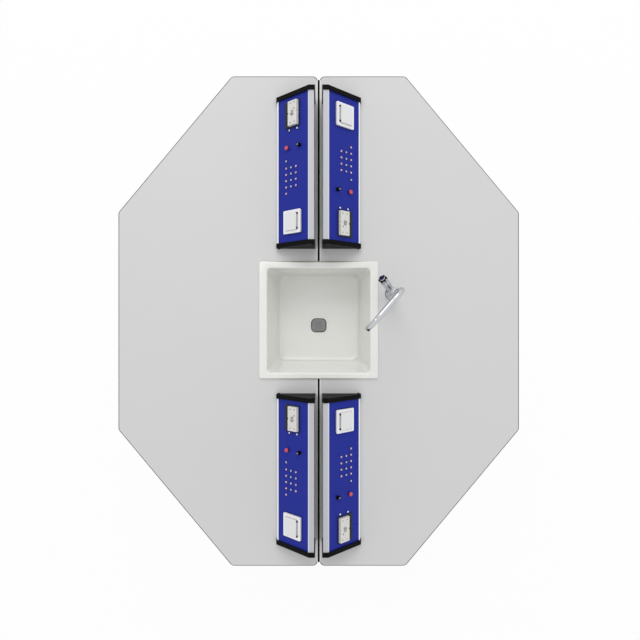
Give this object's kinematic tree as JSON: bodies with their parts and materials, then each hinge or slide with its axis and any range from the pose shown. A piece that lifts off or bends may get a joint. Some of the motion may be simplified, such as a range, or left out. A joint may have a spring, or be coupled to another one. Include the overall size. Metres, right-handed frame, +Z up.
{
  "type": "laboratory table",
  "caption": "Octagonal laboratory table with a central stoneware sink and swan-neck tap, sloping power consoles, a tube frame on levelling feet and a sink cabinet.",
  "frame": {"origin": "on the floor under the middle of the table top", "axes": "+X across the seam between the two half tops, towards the tap; +Y along the seam; +Z up"},
  "size_m": [1.504, 1.838, 1.179],
  "materials": {
    "laminate": "fine-textured high-pressure laminate with a black core",
    "stoneware": "off-white glazed stoneware",
    "strainer_steel": "pressed stainless strainer",
    "waste_fitting": "moulded grey polypropylene",
    "drain_plastic": "white polypropylene tube",
    "chrome_plate": "polished chrome plate",
    "valve_plastic": "moulded dark blue plastic",
    "copper_tube": "drawn copper tube",
    "frame_coat": "light grey powder coat",
    "insert_plastic": "black moulded plastic",
    "foot_steel": "zinc-plated steel",
    "board": "white melamine-faced board",
    "hinge_steel": "satin steel",
    "pull_steel": "satin steel",
    "anodised_aluminium": "natural anodised extrusion",
    "blue_coat": "blue powder coat",
    "socket_plastic": "white moulded plastic",
    "lid_plastic": "white moulded plastic",
    "breaker_plastic": "pale grey moulded plastic",
    "lever_plastic": "grey moulded plastic",
    "button_plastic": "red moulded plastic",
    "knob_plastic": "black moulded plastic",
    "cap_plastic": "black moulded plastic",
    "jack_plastic": "moulded collar round a plated contact",
    "supply_case": "painted sheet",
    "gland_plastic": "grey moulded plastic",
    "screw_steel": "zinc-plated steel"
  },
  "bodies": {
    "table": {"worktop_left": "laminate", "worktop_right": "laminate", "sink": "stoneware", "sink_strainer": "strainer_steel", "waste_outlet": "waste_fitting", "bottle_trap": "drain_plastic", "waste_pipe": "drain_plastic", "tap_pillar": "chrome_plate", "tap_supply": "copper_tube", "top_frame": "frame_coat", "legs": "frame_coat", "leg_inserts": "insert_plastic", "cabinet_panels": "board", "cabinet_hinges": "hinge_steel", "console_ne_housing": "anodised_aluminium", "console_nw_housing": "anodised_aluminium", "console_se_housing": "anodised_aluminium", "console_sw_housing": "anodised_aluminium", "console_ne_panel": "blue_coat", "console_nw_panel": "blue_coat", "console_se_panel": "blue_coat", "console_sw_panel": "blue_coat", "console_ne_socket": "socket_plastic", "console_nw_socket": "socket_plastic", "console_se_socket": "socket_plastic", "console_sw_socket": "socket_plastic", "console_ne_breaker": "breaker_plastic", "console_nw_breaker": "breaker_plastic", "console_se_breaker": "breaker_plastic", "console_sw_breaker": "breaker_plastic", "console_end_caps": "cap_plastic", "console_collars": "cap_plastic", "console_jacks": "jack_plastic", "console_supplies": "supply_case", "cable_glands": "gland_plastic", "cap_screws": "screw_steel"},
    "spout": {"tap_spout": "chrome_plate"},
    "valve_handle": {"tap_handle": "valve_plastic"},
    "door": {"cabinet_door": "board", "door_handle": "pull_steel"},
    "foot_ne": {"foot_ne": "foot_steel"},
    "foot_nw": {"foot_nw": "foot_steel"},
    "foot_se": {"foot_se": "foot_steel"},
    "foot_sw": {"foot_sw": "foot_steel"},
    "lid_ne": {"console_ne_lid": "lid_plastic"},
    "lever_ne": {"console_ne_lever": "lever_plastic"},
    "button_ne": {"console_ne_button": "button_plastic"},
    "knob_ne": {"console_ne_knob": "knob_plastic"},
    "lid_nw": {"console_nw_lid": "lid_plastic"},
    "lever_nw": {"console_nw_lever": "lever_plastic"},
    "button_nw": {"console_nw_button": "button_plastic"},
    "knob_nw": {"console_nw_knob": "knob_plastic"},
    "lid_se": {"console_se_lid": "lid_plastic"},
    "lever_se": {"console_se_lever": "lever_plastic"},
    "button_se": {"console_se_button": "button_plastic"},
    "knob_se": {"console_se_knob": "knob_plastic"},
    "lid_sw": {"console_sw_lid": "lid_plastic"},
    "lever_sw": {"console_sw_lever": "lever_plastic"},
    "button_sw": {"console_sw_button": "button_plastic"},
    "knob_sw": {"console_sw_knob": "knob_plastic"}
  },
  "joints": [
    {"name": "spout_swivel", "type": "hinge", "parent": "table", "child": "spout", "pos_m": [0.2735, 0.103, 0.998], "axis": [0, 0, 1], "continuous": true},
    {"name": "valve_turn", "type": "hinge", "parent": "table", "child": "valve_handle", "pos_m": [0.2735, 0.103, 0.94], "axis": [-0.5, 0.5, 0.7071], "range_deg": [0, 90]},
    {"name": "door_hinge", "type": "hinge", "parent": "table", "child": "door", "pos_m": [-0.341, -0.265, 0.45], "axis": [0, 0, 1], "range_deg": [0, 90]},
    {"name": "foot_ne_screw", "type": "slide", "parent": "table", "child": "foot_ne", "axis": [0, 0, -1], "range_m": [0, 0.025]},
    {"name": "foot_nw_screw", "type": "slide", "parent": "table", "child": "foot_nw", "axis": [0, 0, -1], "range_m": [0, 0.025]},
    {"name": "foot_se_screw", "type": "slide", "parent": "table", "child": "foot_se", "axis": [0, 0, -1], "range_m": [0, 0.025]},
    {"name": "foot_sw_screw", "type": "slide", "parent": "table", "child": "foot_sw", "axis": [0, 0, -1], "range_m": [0, 0.025]},
    {"name": "lid_ne_hinge", "type": "hinge", "parent": "table", "child": "lid_ne", "pos_m": [0.07765, 0.741, 0.99602], "axis": [0, -1, 0], "range_deg": [0, 100], "stiffness_Nm_per_rad": 0.01, "springref_deg": -28.65},
    {"name": "lever_ne_pivot", "type": "hinge", "parent": "table", "child": "lever_ne", "pos_m": [0.09242, 0.3515, 0.98102], "axis": [0.7507, 0, -0.6607], "range_deg": [0, 70]},
    {"name": "button_ne_press", "type": "slide", "parent": "table", "child": "button_ne", "axis": [-0.6607, 0, -0.7507], "range_m": [0, 0.003], "stiffness_N_per_m": 600, "springref_m": -0.002},
    {"name": "knob_ne_turn", "type": "hinge", "parent": "table", "child": "knob_ne", "pos_m": [0.06734, 0.4705, 0.99112], "axis": [0.6607, 0, 0.7507], "range_deg": [0, 270]},
    {"name": "lid_nw_hinge", "type": "hinge", "parent": "table", "child": "lid_nw", "pos_m": [-0.07765, 0.359, 0.99602], "axis": [0, 1, 0], "range_deg": [0, 100], "stiffness_Nm_per_rad": 0.01, "springref_deg": -28.65},
    {"name": "lever_nw_pivot", "type": "hinge", "parent": "table", "child": "lever_nw", "pos_m": [-0.09242, 0.7485, 0.98102], "axis": [-0.7507, 0, -0.6607], "range_deg": [0, 70]},
    {"name": "button_nw_press", "type": "slide", "parent": "table", "child": "button_nw", "axis": [0.6607, 0, -0.7507], "range_m": [0, 0.003], "stiffness_N_per_m": 600, "springref_m": -0.002},
    {"name": "knob_nw_turn", "type": "hinge", "parent": "table", "child": "knob_nw", "pos_m": [-0.06734, 0.6295, 0.99112], "axis": [-0.6607, 0, 0.7507], "range_deg": [0, 270]},
    {"name": "lid_se_hinge", "type": "hinge", "parent": "table", "child": "lid_se", "pos_m": [0.07765, -0.359, 0.99602], "axis": [0, -1, 0], "range_deg": [0, 100], "stiffness_Nm_per_rad": 0.01, "springref_deg": -28.65},
    {"name": "lever_se_pivot", "type": "hinge", "parent": "table", "child": "lever_se", "pos_m": [0.09242, -0.7485, 0.98102], "axis": [0.7507, 0, -0.6607], "range_deg": [0, 70]},
    {"name": "button_se_press", "type": "slide", "parent": "table", "child": "button_se", "axis": [-0.6607, 0, -0.7507], "range_m": [0, 0.003], "stiffness_N_per_m": 600, "springref_m": -0.002},
    {"name": "knob_se_turn", "type": "hinge", "parent": "table", "child": "knob_se", "pos_m": [0.06734, -0.6295, 0.99112], "axis": [0.6607, 0, 0.7507], "range_deg": [0, 270]},
    {"name": "lid_sw_hinge", "type": "hinge", "parent": "table", "child": "lid_sw", "pos_m": [-0.07765, -0.741, 0.99602], "axis": [0, 1, 0], "range_deg": [0, 100], "stiffness_Nm_per_rad": 0.01, "springref_deg": -28.65},
    {"name": "lever_sw_pivot", "type": "hinge", "parent": "table", "child": "lever_sw", "pos_m": [-0.09242, -0.3515, 0.98102], "axis": [-0.7507, 0, -0.6607], "range_deg": [0, 70]},
    {"name": "button_sw_press", "type": "slide", "parent": "table", "child": "button_sw", "axis": [0.6607, 0, -0.7507], "range_m": [0, 0.003], "stiffness_N_per_m": 600, "springref_m": -0.002},
    {"name": "knob_sw_turn", "type": "hinge", "parent": "table", "child": "knob_sw", "pos_m": [-0.06734, -0.4705, 0.99112], "axis": [-0.6607, 0, 0.7507], "range_deg": [0, 270]}
  ]
}
